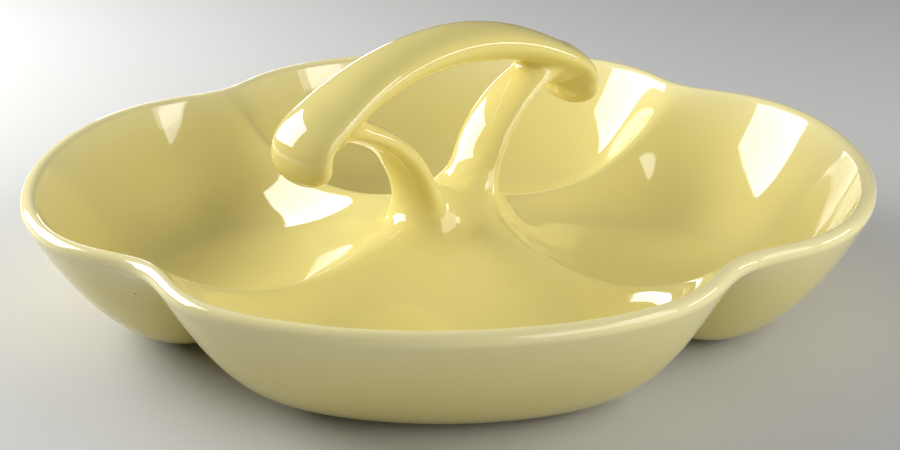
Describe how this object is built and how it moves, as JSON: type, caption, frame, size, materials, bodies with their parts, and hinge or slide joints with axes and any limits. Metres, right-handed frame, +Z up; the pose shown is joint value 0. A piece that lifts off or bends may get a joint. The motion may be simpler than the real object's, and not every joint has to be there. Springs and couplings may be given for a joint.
{
  "type": "relish dish",
  "caption": "Lobed glazed ceramic relish dish: deep wells divided by rounded ridges that meet at a raised hub, with an arched carrying handle standing on it.",
  "frame": {"origin": "on the table, under the dish's centre", "axes": "+Z up; +X to the right and +Y away in the picture, each along a lobe's axis; the handle stands on the diagonal from -X-Y, its near end, to +X+Y, its far end"},
  "size_m": [0.419, 0.419, 0.1383],
  "materials": {
    "glaze": "glossy pale yellow glaze, a little paler and thinner on edges and deeper where it pools",
    "slip_glaze": "the same gloss glaze over luting slip, slightly warmer, with a few pinholes"
  },
  "bodies": {
    "root": {"dish_body": "glaze", "near_leg": "glaze", "far_leg": "glaze", "handle_grip": "glaze", "near_foot_joint": "slip_glaze", "far_foot_joint": "slip_glaze", "near_top_joint": "slip_glaze", "far_top_joint": "slip_glaze"}
  },
  "joints": []
}
